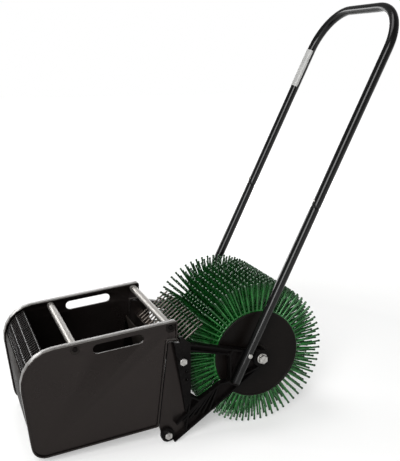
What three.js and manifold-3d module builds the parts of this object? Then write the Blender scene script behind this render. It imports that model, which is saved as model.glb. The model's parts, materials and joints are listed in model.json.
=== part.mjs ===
// Push-along rolling nut gatherer: a roller of fingered discs between two moulded side
// brackets, a comb that strips the roller, a lift-off basket in front and a U handle behind.
// Millimetres, +Z up. X is the roller's axis, -Y is the direction of travel.
// Pieces are placed about the roller's axis first; the whole machine is then moved so that
// the origin is on the floor under the middle of its bounding box.
import * as THREE from 'three';
import { mergeVertices } from 'three/addons/utils/BufferGeometryUtils.js';
import Module from 'manifold-3d';

const wasm = await Module();
wasm.setup();

// ---------------------------------------------------------------- driving dimensions
const gap = 0.3;                  // between touching pieces
const outside = 1000;             // farther out than any piece reaches
const cutClear = 5;               // how far cutting shapes run past what they cut
const bite = 0.5;                 // how far shapes of one piece run into each other

const tipRadius = 175;            // finger tips, so also the height of the axle
const discCount = 16;
const discPitch = 18.4;
const discThickness = 3;
const discBossRadius = 24;
const endDiscRadius = 107.5;
const endDiscThickness = 4.2;
const hubRadius = 17;             // tube that carries the discs
const hubWall = 3.5;
const axleRadius = 6.35;
const axleRunning = 0.1;          // play of the bushings on the axle, at their flats
const bushingLength = 24;
const bushingFlange = 5;
const bushingLip = 2;             // flange beyond the hub tube

const rimWidth = 19.6;            // flange round the edge of a basket side
const rimThickness = 4;
const panelThickness = 5;
const basketRear = 32;            // in front of the finger tips
const basketLength = 359.5;
const basketTop = 118;            // above the axle, at the rear
const topDrop = 0.0948;           // slope of the top edge, down to the front
const basketBottom = 133;         // below the axle, at the rear
const bottomDrop = 0.0953;        // slope of the bottom edge
const frontLean = 0.115;          // slope of the front edge
const frontTopRound = 78.5;
const frontBottomRound = 30;
const outerRound = 5;             // the other corners of a basket side
const innerRound = 3;
const stepHeight = 46;            // upper rear corner that reaches over the bracket
const stepDepth = 24.5;
const seamDepth = 48;             // rear edge to the lower rear corner
const shellWall = 3;
const shellRise = 6;              // rear wall of the shell above the upper tie
const lipRoot = 9;                // rest lip above the lower rear corner
const lipBend = 10;               // and behind it, where it turns level
const slotLength = 116;
const slotHeight = 22;
const slotMargin = 14;            // rim edge to slot
const slotForward = 77;           // rear edge to slot
const grilleRows = 3;
const grilleRowAngle = 18;        // degrees of the front round that one row takes
const grilleFirstAngle = 13;      // degrees above level of the lowest rib
const grillePitch = 12.2;
const grilleSlotWidth = 6.6;
const grilleRibRadius = 2.2;
const crossBarRadius = 9;
const crossBarWall = 1.8;
const frontBarForward = 231.5;    // rear edge to the front bar
const rearBarForward = 15;
const screwRadius = 2.5;
const screwGrip = 12;             // length inside the bar
const screwHeadRadius = 6;
const screwHeadTop = 5;           // radius of the head's outer face
const screwHeadHeight = 3;

const plateThickness = 5.5;       // bracket web
const plateInset = 5;             // web outward from the axle boss's inner face
const ribHeight = 11.5;           // bracket ribs, outward from the web
const ribThickness = 4;
const bracketSetback = 4.5;       // finger tips to the bracket's column
const bracketGap = 3;             // basket side to bracket
const axleBossRadius = 21;
const cornerRadius = 20.5;        // floor to the lower tie bolt, at the machine's foot
const cornerSetback = 3;          // end of the lower tie's boss, inward from the ribs' edges
const footFront = 10;             // flat of the foot, in front of the lower tie bolt
const footBack = 12;              // and behind it
const footRound = 12;
const armRise = 62.5;             // top arm above the axle, at the column
const armLow = 23;                // and at its rear end
const armRear = 32;               // that end, in front of the axle
const armBand = 19;               // top arm's edge down to the window
const chordBack = 53.5;           // column to the bend of the bracket's lower edge
const chordRise = 65;             // floor to that bend
const chordBand = 31;             // that bend up to the window's lowest corner
const windowFront = 3;            // behind the column's rear face
const windowLow = 23;             // behind the column, the window's lowest corner
const windowStep = 16;            // that corner below the window's lower front corner
const windowRear = 81;            // in front of the axle
const windowDrop = 45;            // below the axle, at the rear
const windowHead = 19;            // above the axle, at the rear
const windowRound = 5;
const lowerRibs = 6;
const columnFront = 19;           // in front of the upper tie bolt
const columnDrop = 70;            // column's foot below the axle
const spareHoleRadius = 4;
const spareHoleBack = 10;         // in front of the column's rear face
const spareHoleDrops = [3, 23];   // below the axle
const tieBoltRadius = 5;
const tieFlats = 16;
const axleFlats = 19;
const threadEnd = 3;              // bolt beyond its nut
const spacerRadius = 8;
const tieSetback = 23.5;          // finger tips to the upper tie bolt
const tieHeight = 23.5;
const washerThickness = 1.6;

const tineRadius = 2.2;
const tineSlope = 38;             // degrees
const tineLift = 14.4;            // upper tie bolt to the tines' centre line
const tineForward = 7.3;          // ends of the tines, in front of the strip's middle
const tineReach = 70;             // straight part behind the strip's middle
const tineBends = [[80, -0.4], [90, -1.4]];   // then along and up from the straight part's line
const combStripWidth = 22;
const stripBed = 0.6;             // share of the tines' radius that the strip takes in

const tubeRadius = 11.1;
const tubeWall = 1.5;
const tubeStandoff = 3.3;         // bracket web to the tube
const handleLean = 25.95;         // degrees back from upright
const handleOffset = 46;          // handle line in front of the axle, at the axle's height
const handleLength = 900;         // along the lean, axle height to the grip's centre line
const handleBend = 110;
const channelPlay = 0.5;          // tube to the walls of its socket
const socketRise = 24;            // socket walls above the axle's height, along the lean
const socketDepth = 54.5;         // tube below the axle's height, along the lean
const plugCap = 2.5;
const plugGrip = 12;
const plugClearance = 1.2;        // plug to the socket's floor
const seamPlace = 395;
const swageLength = 52;
const swageNeck = 6;              // full-size bore ends this far below the seam
const buttonPlace = 12.5;         // above the seam
const buttonRadius = 3.8;
const buttonStand = 3.6;          // dome outside the tube
const buttonPlay = 0.3;
const leafThickness = 0.8;
const leafWidth = 6;
const leafPlay = 1;               // spring to the bore it stands in
const leafTail = 4;               // button's leaf below and above the seam
const leafTop = 24;
const springTail = 5;             // spring below the seam
const springTop = 20;             // and above it
const pinPlace = 18.6;
const pinRadius = 3;
const pinHeadRadius = 6.4;
const pinHeadHeight = 3.2;
const labelPlace = 684;
const labelLength = 105;
const labelThickness = 0.5;
const labelWrap = 166;            // degrees round the tube
const labelTurn = 7;              // degrees, its middle inward of straight ahead

// ---------------------------------------------------------------- worked-out places
const discFaces = discPitch * (discCount - 1) / 2 + discThickness / 2;
const endDiscInner = discFaces + gap;
const endDiscOuter = endDiscInner + endDiscThickness;
const bracketBossInner = endDiscOuter + gap + bushingFlange + gap;
const rimInner = endDiscOuter;
const rimOuter = rimInner + rimWidth;
const wallInner = (rimInner + rimOuter - panelThickness) / 2;
const wallOuter = wallInner + panelThickness;
const plateInner = bracketBossInner + plateInset;
const plateOuter = plateInner + plateThickness;
const ribOuter = plateOuter + ribHeight;
const legX = plateOuter + tubeStandoff + tubeRadius;
const ground = -tipRadius;
const rollerFront = -tipRadius;
const basketBack = rollerFront - basketRear;
const tieY = rollerFront - tieSetback;
const columnBack = rollerFront - bracketSetback;
const lean = THREE.MathUtils.degToRad(handleLean);
const swageRadius = tubeRadius - tubeWall - gap;
const leafFace = swageRadius - tubeWall - leafPlay;

// Front edge of the bracket and rear edge of the basket side are one sloping line, apart by a gap.
const seamBottomY = basketBack - seamDepth;
const seamTopY = basketBack - stepDepth;
const stepZ = basketTop - stepHeight;
// Edge lines of a basket side: the top, the bottom and the front.
const topAt = (y) => basketTop + (y - basketBack) * topDrop;
const bottomAt = (y) => -basketBottom + (y - seamBottomY) * bottomDrop;
const frontTop = basketBack - basketLength;
const frontBottom = (frontTop + frontLean * (topAt(frontTop) + basketBottom + seamBottomY * bottomDrop))
  / (1 + frontLean * bottomDrop);

// ---------------------------------------------------------------- materials
const paint = (color, roughness, metalness) => new THREE.MeshStandardMaterial({ color, roughness, metalness });
const blackPlastic = () => paint(0x2b2826, 0.45, 0.0);
const rimPlastic = () => paint(0x34302e, 0.35, 0.0);
const greenPlastic = () => paint(0x0d5a24, 0.4, 0.0);
const blackTube = () => paint(0x141414, 0.25, 0.2);
const zinc = () => paint(0xb9b8b4, 0.35, 0.9);
const aluminium = () => paint(0xc9c6c0, 0.4, 0.8);
const steelWire = () => paint(0x96877d, 0.45, 0.8);
const whiteLabel = () => paint(0xe6e6e2, 0.6, 0.0);

// ---------------------------------------------------------------- shape helpers
// YZ outlines are drawn in a shape's own x, y and pushed along the machine's X.
const acrossX = new THREE.Matrix4().makeBasis(
  new THREE.Vector3(0, 1, 0), new THREE.Vector3(0, 0, 1), new THREE.Vector3(1, 0, 0));

function solid(geometry) {
  const bare = geometry.index ? geometry.toNonIndexed() : geometry.clone();
  bare.deleteAttribute('normal');
  bare.deleteAttribute('uv');
  const welded = mergeVertices(bare, 1e-4);
  return new wasm.Manifold(new wasm.Mesh({
    numProp: 3,
    vertProperties: new Float32Array(welded.attributes.position.array),
    triVerts: new Uint32Array(welded.index.array),
  }));
}

function surface(manifold) {
  const mesh = manifold.getMesh();
  const geometry = new THREE.BufferGeometry();
  geometry.setAttribute('position', new THREE.BufferAttribute(mesh.vertProperties, 3));
  geometry.setIndex(new THREE.BufferAttribute(mesh.triVerts, 1));
  const flat = geometry.toNonIndexed();
  flat.computeVertexNormals();
  return flat;
}

const joined = (solids) => solids.reduce((whole, next) => whole.add(next));
const cut = (body, tools) => tools.reduce((whole, next) => whole.subtract(next), body);

const ring = (radius, sides, y = 0, z = 0) => Array.from({ length: sides }, (_, i) => {
  const angle = 2 * Math.PI * (i + 0.5) / sides;
  return new THREE.Vector2(y + radius * Math.cos(angle), z + radius * Math.sin(angle));
});

// An outline in YZ, with holes, pushed from x0 to x1.
function plate(outline, x0, x1, holes = []) {
  const shape = new THREE.Shape(outline);
  shape.holes = holes.map((hole) => new THREE.Path(hole));
  const geometry = new THREE.ExtrudeGeometry(shape, { depth: x1 - x0, bevelEnabled: false, steps: 1 });
  return geometry.translate(0, 0, x0).applyMatrix4(acrossX);
}

const rod = (radius, x0, x1, y = 0, z = 0, sides = 16) => plate(ring(radius, sides, y, z), x0, x1);
const pipe = (radius, bore, x0, x1, y = 0, z = 0, sides = 16) =>
  plate(ring(radius, sides, y, z), x0, x1, [ring(bore, sides, y, z)]);

// A closed profile of [radius, x] turned about the X axis.
function turned(profile, sides, y = 0, z = 0) {
  const points = [...profile, profile[0]].map(([radius, x]) => new THREE.Vector2(radius, x));
  const geometry = new THREE.LatheGeometry(points, sides);
  return geometry.rotateZ(-Math.PI / 2).translate(0, y, z);
}

const hexagon = (acrossFlats, y, z) => ring(acrossFlats / Math.sqrt(3), 6, y, z);

// Corners are [y, z, round]. Each edge moves in by inset, and the rounds shrink with it.
function roundedOutline(corners, inset = 0, steps = 6) {
  const count = corners.length;
  const at = (i) => new THREE.Vector2(...corners[(i + count) % count].slice(0, 2));
  const inward = (a, b) => new THREE.Vector2(a.y - b.y, b.x - a.x).normalize();
  const points = [];
  for (let i = 0; i < count; i += 1) {
    const [before, here, after] = [at(i - 1), at(i), at(i + 1)];
    const n0 = inward(before, here);
    const n1 = inward(here, after);
    const turn = n0.x * n1.y - n0.y * n1.x;
    const round = corners[i][2] - inset * Math.sign(turn);
    const reach = (distance) => here.clone().addScaledVector(n0.clone().add(n1), distance / (1 + n0.dot(n1)));
    if (round < 0.2) {
      points.push(reach(inset));
      continue;
    }
    const centre = reach(inset + round * Math.sign(turn));
    const start = Math.atan2(-n0.y, -n0.x) + (turn < 0 ? Math.PI : 0);
    const sweep = Math.atan2(turn, n0.dot(n1));
    const pieces = Math.max(2, Math.round(steps * Math.abs(sweep) / (Math.PI / 2)));
    for (let k = 0; k <= pieces; k += 1) {
      const angle = start + sweep * k / pieces;
      points.push(new THREE.Vector2(centre.x + round * Math.cos(angle), centre.y + round * Math.sin(angle)));
    }
  }
  return points;
}

// A bar of one width between two points of the YZ plane, from x0 to x1.
function strip([y0, z0], [y1, z1], width, x0, x1) {
  const along = new THREE.Vector2(y1 - y0, z1 - z0).normalize();
  const side = new THREE.Vector2(-along.y, along.x).multiplyScalar(width / 2);
  return solid(plate([
    new THREE.Vector2(y0 - side.x, z0 - side.y), new THREE.Vector2(y1 - side.x, z1 - side.y),
    new THREE.Vector2(y1 + side.x, z1 + side.y), new THREE.Vector2(y0 + side.x, z0 + side.y)], x0, x1));
}

// Tubes of the handle are drawn upright about Z, then leaned back onto the handle line.
function onHandle(geometry, x = 0) {
  return geometry.rotateX(-lean).translate(x, -handleOffset, 0);
}

function uprightTurned(profile, sides) {
  const points = [...profile, profile[0]].map(([radius, s]) => new THREE.Vector2(radius, s));
  return new THREE.LatheGeometry(points, sides).rotateX(Math.PI / 2);
}

// A solid of revolution about X whose profile of [radius, x] starts and ends on the axis.
function aboutX(profile, sides, side) {
  const points = profile.map(([radius, x]) => new THREE.Vector2(radius, x));
  const geometry = new THREE.LatheGeometry(points, sides).rotateZ(-Math.PI / 2);
  return side > 0 ? geometry : geometry.rotateZ(Math.PI);
}

// A centre line given as places with their directions, so that a sweep keeps these places.
class CentreLine extends THREE.Curve {
  constructor(places) {
    super();
    this.places = places;
  }

  getUtoTmapping(u) {
    return u;
  }

  getPoint(t, target = new THREE.Vector3()) {
    return target.copy(this.places[Math.round(t * (this.places.length - 1))].point);
  }

  getTangent(t, target = new THREE.Vector3()) {
    return target.copy(this.places[Math.round(t * (this.places.length - 1))].direction);
  }
}

// ---------------------------------------------------------------- assembly
const machine = new THREE.Group();

function piece(name, geometry, material) {
  const mesh = new THREE.Mesh(geometry, material);
  mesh.name = name;
  machine.add(mesh);
}

const sides = [['left', -1], ['right', 1]];
const span = (side, x0, x1) => (side > 0 ? [x0, x1] : [-x1, -x0]);

// ---------------------------------------------------------------- roller
function fingerDisc(index) {
  const x = (index - (discCount - 1) / 2) * discPitch - discThickness / 2;
  const bore = hubRadius + gap;
  const bossEnd = x - (index > 0 ? discPitch - discThickness - gap : 0);
  const web = [[bore, x + discThickness], [bore, bossEnd]];
  const boss = index > 0 ? [[discBossRadius, bossEnd], [discBossRadius, x]] : [];
  return turned([...web, ...boss, [tipRadius, x], [tipRadius, x + discThickness]], 28);
}

function endDisc(side) {
  const [x0, x1] = span(side, endDiscInner, endDiscOuter);
  return pipe(endDiscRadius, hubRadius + gap, x0, x1, 0, 0, 32);
}

function bushing(side) {
  const sideCount = 16;
  const bore = (axleRadius + axleRunning) / Math.cos(Math.PI / sideCount);
  const insert = hubRadius - hubWall - gap;
  const flangeFace = endDiscOuter + gap;
  const profile = [[bore, flangeFace + bushingFlange], [bore, flangeFace - bushingLength],
    [insert, flangeFace - bushingLength], [insert, flangeFace], [hubRadius + bushingLip, flangeFace],
    [hubRadius + bushingLip, flangeFace + bushingFlange]];
  const geometry = turned(profile, sideCount);
  return side > 0 ? geometry : geometry.rotateZ(Math.PI);
}

function addRoller() {
  for (let i = 0; i < discCount; i += 1) {
    piece(`finger_disc_${String(i + 1).padStart(2, '0')}`, fingerDisc(i), greenPlastic());
  }
  piece('hub_tube', pipe(hubRadius, hubRadius - hubWall, -endDiscOuter, endDiscOuter, 0, 0, 24), zinc());
  for (const [word, side] of sides) {
    piece(`end_disc_${word}`, endDisc(side), blackPlastic());
    piece(`bushing_${word}`, bushing(side), blackPlastic());
  }
}

// ---------------------------------------------------------------- basket
const sideCorners = [
  [basketBack, basketTop, outerRound],
  [frontTop, topAt(frontTop), frontTopRound],
  [frontBottom, bottomAt(frontBottom), frontBottomRound],
  [seamBottomY, -basketBottom, outerRound],
  [seamTopY, stepZ, innerRound],
  [basketBack, stepZ, innerRound],
];

const slotY = basketBack - slotForward - slotLength / 2;
const slotSlope = Math.atan(topDrop);

function slotOutline() {
  const half = slotLength / 2 - slotHeight / 2;
  const centreZ = topAt(slotY) - slotMargin - slotHeight / 2;
  const points = [];
  for (const [end, from] of [[half, -Math.PI / 2], [-half, Math.PI / 2]]) {
    for (let k = 0; k <= 6; k += 1) {
      const angle = from + Math.PI * k / 6;
      points.push(new THREE.Vector2(end + slotHeight / 2 * Math.cos(angle), slotHeight / 2 * Math.sin(angle)));
    }
  }
  const middle = new THREE.Vector2(slotY, centreZ);
  return points.map((p) => p.rotateAround(new THREE.Vector2(), slotSlope).add(middle));
}

const barSeats = [
  ['front', basketBack - frontBarForward],
  ['rear', basketBack - rearBarForward],
].map(([word, y]) => [word, y, topAt(y) - rimThickness - gap - crossBarRadius]);

function sidePanel(side) {
  const outline = roundedOutline(sideCorners);
  const inner = roundedOutline(sideCorners, rimThickness);
  const [wall0, wall1] = span(side, wallInner, wallOuter);
  const [rim0, rim1] = span(side, rimInner, rimOuter);
  const holes = barSeats.map(([, y, z]) => ring(screwRadius + gap, 10, y, z));
  const wall = solid(plate(outline, wall0, wall1, [slotOutline(), ...holes]));
  const rim = solid(plate(outline, rim0, rim1, [inner]));
  return surface(wall.add(rim));
}

// Floor, front wall and rear wall as one bent sheet between the two sides.
function basketShell() {
  const inset = rimThickness + gap;
  const outer = roundedOutline(sideCorners, inset);
  const inner = roundedOutline(sideCorners, inset + shellWall);
  const reach = wallInner - gap;
  const trayEdge = grilleRib(0).y - grilleRibRadius - gap;
  const rearTop = tieHeight + shellRise;
  const hollow = solid(plate(inner, -reach - cutClear, reach + cutClear));
  const body = solid(plate(outer, -reach, reach)).subtract(hollow);
  const above = new THREE.Shape([
    new THREE.Vector2(-outside, trayEdge), new THREE.Vector2(slotY, trayEdge),
    new THREE.Vector2(slotY, rearTop), new THREE.Vector2(outside, rearTop),
    new THREE.Vector2(outside, outside), new THREE.Vector2(-outside, outside)]);
  const lid = solid(plate(above.getPoints(), -reach - cutClear, reach + cutClear));
  return surface(body.subtract(lid).add(restLip()));
}

// The lip behind the rear wall that sits on the lower spacer, between the rims of the sides.
function restLip() {
  const reach = rimInner - gap;
  const rest = lowerTieZ + spacerRadius + gap + shellWall / 2;
  const root = [seamBottomY - rimThickness - gap - shellWall / 2, -basketBottom + lipRoot];
  const bend = [seamBottomY + lipBend, rest];
  const tip = [lowerTieY + spacerRadius, rest];
  return joined([strip(root, bend, shellWall, -reach, reach), strip(bend, tip, shellWall, -reach, reach)]);
}

function frontRound() {
  const [y, z, round] = sideCorners[1];
  const top = new THREE.Vector2(1, topDrop).normalize();
  const front = new THREE.Vector2(frontLean, -1).normalize();
  const reach = round / Math.sin(Math.acos(top.dot(front)));
  return new THREE.Vector2(y, z).addScaledVector(top, reach).addScaledVector(front, reach);
}

function grilleRib(index) {
  const centre = frontRound();
  const radius = frontTopRound - rimThickness - gap - 2 * grilleRibRadius;
  const angle = THREE.MathUtils.degToRad(grilleFirstAngle + index * grilleRowAngle);
  return new THREE.Vector2(-Math.cos(angle), Math.sin(angle)).multiplyScalar(radius).add(centre);
}

// The slats of one row, which stand between two neighbouring ribs and leave the slots open.
function grilleSlats(index, reach) {
  const from = grilleRib(index);
  const to = grilleRib(index + 1);
  const slots = Math.floor((2 * reach - grilleSlotWidth) / grillePitch);
  const slats = [];
  for (let i = 0; i <= slots; i += 1) {
    const middle = (i - slots / 2) * grillePitch;
    const halfWidth = (grillePitch - grilleSlotWidth) / 2;
    const x0 = i === 0 ? -reach : middle - halfWidth;
    const x1 = i === slots ? reach : middle + halfWidth;
    slats.push(strip([from.x, from.y], [to.x, to.y], shellWall, x0, x1));
  }
  return slats;
}

function frontGrille() {
  const reach = wallInner - gap;
  const parts = [];
  for (let i = 0; i <= grilleRows; i += 1) {
    const rib = grilleRib(i);
    parts.push(solid(rod(grilleRibRadius, -reach, reach, rib.x, rib.y, 4)));
  }
  for (let i = 0; i < grilleRows; i += 1) parts.push(...grilleSlats(i, reach));
  return surface(joined(parts));
}

function crossBar(y, z) {
  const reach = wallInner - gap;
  return pipe(crossBarRadius, crossBarRadius - crossBarWall, -reach, reach, y, z, 16);
}

function barScrew(side, y, z) {
  const head = wallOuter + gap;
  const tip = wallInner - gap - screwGrip;
  const profile = [[0, tip], [screwRadius, tip], [screwRadius, head], [screwHeadRadius, head],
    [screwHeadTop, head + screwHeadHeight], [0, head + screwHeadHeight]];
  return aboutX(profile, 10, side).translate(0, y, z);
}

function addBasket() {
  for (const [word, side] of sides) {
    piece(`side_panel_${word}`, sidePanel(side), rimPlastic());
    for (const [place, y, z] of barSeats) piece(`${place}_bar_screw_${word}`, barScrew(side, y, z), zinc());
  }
  piece('basket_shell', basketShell(), blackPlastic());
  piece('front_grille', frontGrille(), blackPlastic());
  for (const [place, y, z] of barSeats) piece(`${place}_cross_bar`, crossBar(y, z), aluminium());
}

// ---------------------------------------------------------------- brackets and ties
const lowerTieY = seamBottomY + cornerRadius;
const lowerTieZ = ground + cornerRadius;
const armTop = [columnBack, armRise];
const armEnd = [-armRear, armLow];
const chord = [columnBack + chordBack, ground + chordRise];
const windowFloor = chord[1] + chordBand;

const along = ([y0, z0], [y1, z1], t) => [y0 + (y1 - y0) * t, z0 + (z1 - z0) * t];
const windowBend = [along([columnBack, 0], [-windowRear, 0], 0.75)[0], -windowDrop - 1];

const bracketCorners = [
  [seamTopY + bracketGap, stepZ - bracketGap, 2],
  [seamBottomY + bracketGap, -basketBottom + 2, 14],
  [lowerTieY - footFront, ground, footRound],
  [lowerTieY + footBack, ground, footRound],
  [...chord, 0],
  [axleBossRadius * 0.62, -axleBossRadius, 14],
  [axleBossRadius, axleBossRadius * 0.9, 16],
  [...armEnd, 0],
  [...armTop, innerRound],
];

const windowCorners = [
  [columnBack + windowFront, armRise - armBand, windowRound],
  [columnBack + windowFront, windowFloor + windowStep, windowRound],
  [columnBack + windowLow, windowFloor, windowRound],
  [...windowBend, windowRound],
  [-windowRear, -windowDrop, windowRound],
  [-windowRear - 3, windowHead, windowRound],
];

// Ribs follow the edges of the web and its window, with a row of short ribs along the bottom.
function bracketRibs(x0, x1) {
  const half = ribThickness / 2 + bite;
  const foot = [lowerTieY + footBack + half, ground + half];
  const chordRib = [chord[0], chord[1] + half];
  const tail = [0, -axleBossRadius + half];
  const bend = [windowBend[0], windowBend[1] - half];
  const low = [columnBack + windowLow, windowFloor - half];
  const lowFront = [columnBack, windowFloor + windowStep - 2 * half];
  const lowRear = [-windowRear + half, -windowDrop - half];
  const headRear = [-windowRear, windowHead];
  const columnFoot = [columnBack, -columnDrop];
  const ribs = [
    [[armTop[0], armTop[1] - half], [armEnd[0] + 8, armEnd[1] - 2 * half]],
    [[columnBack, armRise - armBand + half], [headRear[0], headRear[1] + half]],
    [headRear, lowRear],
    [lowRear, bend],
    [bend, low],
    [low, lowFront],
    [foot, chordRib],
    [chordRib, tail],
    [lowRear, tail],
    [columnFoot, [columnBack - 12, ground + 26]],
    [along(armTop, armEnd, 0.72), headRear],
  ];
  for (let i = 0; i < lowerRibs; i += 1) {
    const t = (i + 0.5) / lowerRibs;
    ribs.push([along(low, bend, t), along([lowerTieY + footBack, ground + 42], chordRib, t)]);
  }
  return ribs.map(([a, b]) => strip(a, b, ribThickness, x0, x1));
}

// The web is solid to the ribs' height round the upper tie bolt and the spare holes.
function bracketColumn(x0, x1) {
  const under = stepZ - bracketGap;
  const outline = [
    [tieY - columnFront, under - 2], [basketBack + 2, under], [basketBack + 2, stepZ + 8], [tieY, stepZ + 8],
    armTop, [columnBack, -columnDrop], [columnBack - 12, -columnDrop - 35], [tieY - 8, -8]];
  return solid(plate(outline.map(([y, z]) => new THREE.Vector2(y, z)).reverse(), x0, x1));
}

const channelWidth = 2 * (tubeRadius + channelPlay);
const socketFloor = socketDepth + gap + plugCap + plugClearance;

// Everything the lower tube passes through is cut back, so that it lies in its channel.
function tubeChannel(side) {
  const [x0, x1] = span(side, plateOuter + bite, ribOuter + cutClear);
  const height = socketFloor + armRise + outside;
  const box = new THREE.BoxGeometry(x1 - x0, channelWidth, height);
  box.translate((x0 + x1) / 2, 0, height / 2 - socketFloor);
  return solid(onHandle(box));
}

function socketWalls(side) {
  const [x0, x1] = span(side, plateOuter - bite, ribOuter);
  const length = socketFloor + ribThickness + socketRise;
  const out = (channelWidth + ribThickness) / 2;
  const walls = [-1, 1].map((edge) => {
    const box = new THREE.BoxGeometry(x1 - x0, ribThickness, length);
    return solid(onHandle(box.translate((x0 + x1) / 2, edge * out, socketRise - length / 2)));
  });
  const floor = new THREE.BoxGeometry(x1 - x0, channelWidth + ribThickness, ribThickness);
  floor.translate((x0 + x1) / 2, 0, -socketFloor - ribThickness / 2);
  return [...walls, solid(onHandle(floor))];
}

function bracket(side) {
  const [web0, web1] = span(side, plateInner, plateOuter);
  const [rib0, rib1] = span(side, plateOuter - bite, ribOuter);
  const web = solid(plate(roundedOutline(bracketCorners), web0, web1, [roundedOutline(windowCorners, 0, 3)]));
  const hub = solid(rod(axleBossRadius, ...span(side, bracketBossInner, ribOuter), 0, 0, 24));
  const cornerEnds = span(side, plateOuter - bite, ribOuter - cornerSetback);
  const corner = solid(rod(cornerRadius - ribThickness, ...cornerEnds, lowerTieY, lowerTieZ, 16));
  const ribbed = joined([...bracketRibs(rib0, rib1), bracketColumn(rib0, rib1)]);
  const body = joined([web, cut(ribbed, [tubeChannel(side)]), ...socketWalls(side), hub, corner]);
  const through = span(side, bracketBossInner - cutClear, ribOuter + cutClear);
  const holes = [
    rod(axleRadius + gap, ...through, 0, 0, 24),
    rod(tieBoltRadius + gap, ...through, tieY, tieHeight, 12),
    rod(tieBoltRadius + gap, ...through, lowerTieY, lowerTieZ, 12),
    ...spareHoleDrops.map((drop) => rod(spareHoleRadius, ...through, columnBack - spareHoleBack, -drop, 8)),
    onHandle(rod(pinRadius + gap, ...through, 0, pinPlace, 12)),
    new THREE.BoxGeometry(2 * outside, 2 * outside, outside).translate(0, 0, ground - outside / 2),
  ];
  return surface(cut(body, holes.map(solid)));
}

// A bolt with its head on the right and its nut on the left.
function addBolt(name, radius, flats, face, y, z, washers) {
  const seat = face + gap + (washers ? washerThickness + gap : 0);
  const head = radius * 1.3;
  const bolt = solid(plate(hexagon(flats, y, z), seat, seat + head))
    .add(solid(rod(radius, -seat - head - threadEnd, seat + bite, y, z, 24)));
  piece(`${name}_bolt`, surface(bolt), zinc());
  const nut = plate(hexagon(flats, y, z), -seat - head, -seat, [ring(radius + gap, 12, y, z)]);
  piece(`${name}_nut`, nut, zinc());
  if (!washers) return;
  for (const [word, side] of sides) {
    const [x0, x1] = span(side, face + gap, face + gap + washerThickness);
    piece(`${name}_washer_${word}`, pipe(radius * 1.95, radius + gap, x0, x1, y, z, 24), zinc());
  }
}

function addFrame() {
  for (const [word, side] of sides) piece(`bracket_${word}`, bracket(side), blackPlastic());
  addBolt('axle', axleRadius, axleFlats, ribOuter, 0, 0, true);
  addBolt('upper_tie', tieBoltRadius, tieFlats, ribOuter, tieY, tieHeight, false);
  addBolt('lower_tie', tieBoltRadius, tieFlats, ribOuter - cornerSetback, lowerTieY, lowerTieZ, false);
  const reach = plateInner - gap;
  const spacer = (y, z) => pipe(spacerRadius, tieBoltRadius + gap, -reach, reach, y, z, 16);
  piece('upper_spacer', spacer(tieY, tieHeight), zinc());
  piece('lower_spacer', spacer(lowerTieY, lowerTieZ), zinc());
}

// ---------------------------------------------------------------- comb
function tineLine() {
  const slope = THREE.MathUtils.degToRad(tineSlope);
  const up = new THREE.Vector2(Math.cos(slope), Math.sin(slope));
  const out = new THREE.Vector2(-up.y, up.x);
  const middle = new THREE.Vector2(tieY, tieHeight).addScaledVector(out, tineLift);
  return { up, out, middle };
}

function tine(x) {
  const { up, out, middle } = tineLine();
  const place = (along0, out0) => middle.clone().addScaledVector(up, along0).addScaledVector(out, out0);
  const points = [[-tineForward, 0], [tineReach, 0], ...tineBends].map(([a, o]) => place(a, o));
  const places = points.map((p, i) => {
    const before = points[Math.max(i - 1, 0)];
    const after = points[Math.min(i + 1, points.length - 1)];
    const direction = new THREE.Vector3(0, after.x - before.x, after.y - before.y).normalize();
    return { point: new THREE.Vector3(x, p.x, p.y), direction };
  });
  const section = new THREE.Shape(ring(tineRadius, 6));
  return solid(new THREE.ExtrudeGeometry(section, {
    steps: places.length - 1, extrudePath: new CentreLine(places), bevelEnabled: false }));
}

function comb() {
  const { up, out, middle } = tineLine();
  const reach = plateInner - 2 * gap;
  const low = -tineLift + spacerRadius + gap;
  const high = -tineRadius * stripBed;
  const place = (a, o) => {
    const p = middle.clone().addScaledVector(up, a).addScaledVector(out, o);
    return [p.x, p.y];
  };
  const mid = (low + high) / 2;
  const half = combStripWidth / 2;
  const parts = [strip(place(-half, mid), place(half, mid), high - low, -reach, reach)];
  for (let i = 1; i < discCount; i += 1) parts.push(tine((i - discCount / 2) * discPitch));
  return surface(joined(parts));
}

// ---------------------------------------------------------------- handle
function lowerTube(side) {
  const bore = tubeRadius - tubeWall;
  const swageBore = swageRadius - tubeWall;
  const tube = uprightTurned([[bore, -socketDepth], [tubeRadius, -socketDepth], [tubeRadius, seamPlace - gap],
    [swageRadius, seamPlace - gap], [swageRadius, seamPlace + swageLength],
    [swageBore, seamPlace + swageLength], [swageBore, seamPlace - swageNeck], [bore, seamPlace - 2 * swageNeck]], 20);
  const pinHole = rod(pinRadius + gap, -outside, outside, 0, pinPlace, 12);
  return onHandle(surface(cut(solid(tube), [solid(buttonHole()), solid(pinHole)])), side * legX);
}

// From the tube's middle out through its front, at the button's height.
function buttonHole() {
  const length = 2 * tubeRadius;
  const hole = new THREE.CylinderGeometry(buttonRadius + buttonPlay, buttonRadius + buttonPlay, length, 12);
  return hole.translate(0, -length / 2, seamPlace + buttonPlace);
}

function snapButton(side) {
  const top = tubeRadius + buttonStand;
  const profile = [[0, leafFace - leafThickness / 2], [buttonRadius, leafFace - leafThickness / 2],
    [buttonRadius, top - 1.6], [buttonRadius * 0.72, top - 0.5], [0, top]];
  const dome = new THREE.LatheGeometry(profile.map(([radius, out]) => new THREE.Vector2(radius, out)), 12);
  dome.rotateX(Math.PI).translate(0, 0, seamPlace + buttonPlace);
  const leaf = new THREE.BoxGeometry(leafWidth, leafThickness, leafTop + leafTail);
  leaf.translate(0, -leafFace + leafThickness / 2, seamPlace + (leafTop - leafTail) / 2);
  return onHandle(surface(solid(dome).add(solid(leaf))), side * legX);
}

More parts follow.
